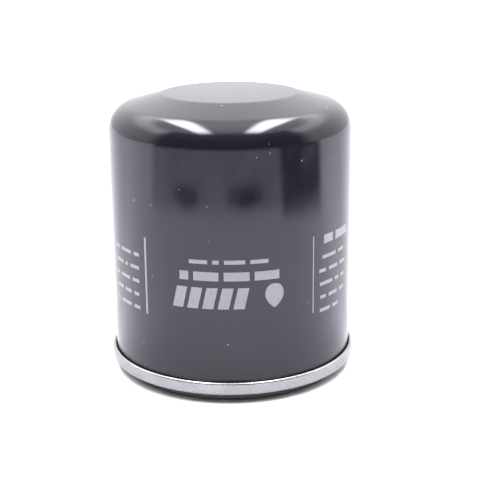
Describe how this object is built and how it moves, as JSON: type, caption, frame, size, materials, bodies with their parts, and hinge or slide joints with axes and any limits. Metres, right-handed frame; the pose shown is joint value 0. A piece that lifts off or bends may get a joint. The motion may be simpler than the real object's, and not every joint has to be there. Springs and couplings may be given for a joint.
{
  "type": "oil filter",
  "caption": "Spin-on engine oil filter: painted can seamed to a plated lid, gasket, threaded base plate, pleated element, bypass and anti-drain valves.",
  "frame": {"origin": "on the thread's axis, in the plane of the gasket's sealing face, which is the lowest face", "axes": "+Z along the thread's axis, from the gasket to the dome; +X and +Y across the can, with the pleats' joint on +X"},
  "size_m": [0.0786, 0.0786, 0.088],
  "materials": {
    "black_paint": "gloss black enamel",
    "zinc_plate": "satin zinc plating",
    "plate_steel": "oiled bare steel",
    "weld_steel": "weld metal",
    "cap_steel": "bright tinplate",
    "tube_steel": "galvanised sheet",
    "spring_steel": "oiled spring steel",
    "pin_steel": "turned steel",
    "gasket_rubber": "satin nitrile rubber",
    "valve_rubber": "matt nitrile rubber",
    "sealing_compound": "cured compound",
    "adhesive": "cured plastisol",
    "filter_paper": "resin-cured pleated paper",
    "print_ink": "silver-grey printing ink, on visual pieces only"
  },
  "bodies": {
    "housing": {"can": "black_paint", "seaming_lid": "zinc_plate", "spot_welds": "weld_steel", "seam_compound": "sealing_compound", "base_plate": "plate_steel", "gasket": "gasket_rubber", "support_spring": "spring_steel"},
    "element": {"lower_end_cap": "cap_steel", "lower_adhesive": "adhesive", "center_tube": "tube_steel", "filter_paper": "filter_paper", "pleat_clip": "cap_steel", "upper_adhesive": "adhesive", "upper_end_cap": "cap_steel", "valve_cage": "cap_steel", "valve_spring": "spring_steel"},
    "bypass_valve": {"valve_disc": "cap_steel", "valve_seal": "valve_rubber", "valve_pin": "pin_steel"},
    "drain_valve": {"anti_drain_valve": "valve_rubber"}
  },
  "joints": [
    {"name": "element_float", "type": "slide", "parent": "housing", "child": "element", "axis": [0, 0, 1], "range_m": [0, 0.002], "stiffness_N_per_m": 10000, "springref_m": -0.006, "deforming": ["support_spring"]},
    {"name": "bypass_lift", "type": "slide", "parent": "element", "child": "bypass_valve", "axis": [0, 0, -1], "range_m": [0, 0.0025], "stiffness_N_per_m": 2500, "springref_m": -0.006, "deforming": ["valve_spring"]},
    {"name": "drain_lift", "type": "slide", "parent": "housing", "child": "drain_valve", "axis": [0, 0, 1], "range_m": [0, 0.0012], "stiffness_N_per_m": 500, "springref_m": -0.002, "deforming": ["anti_drain_valve"]}
  ]
}
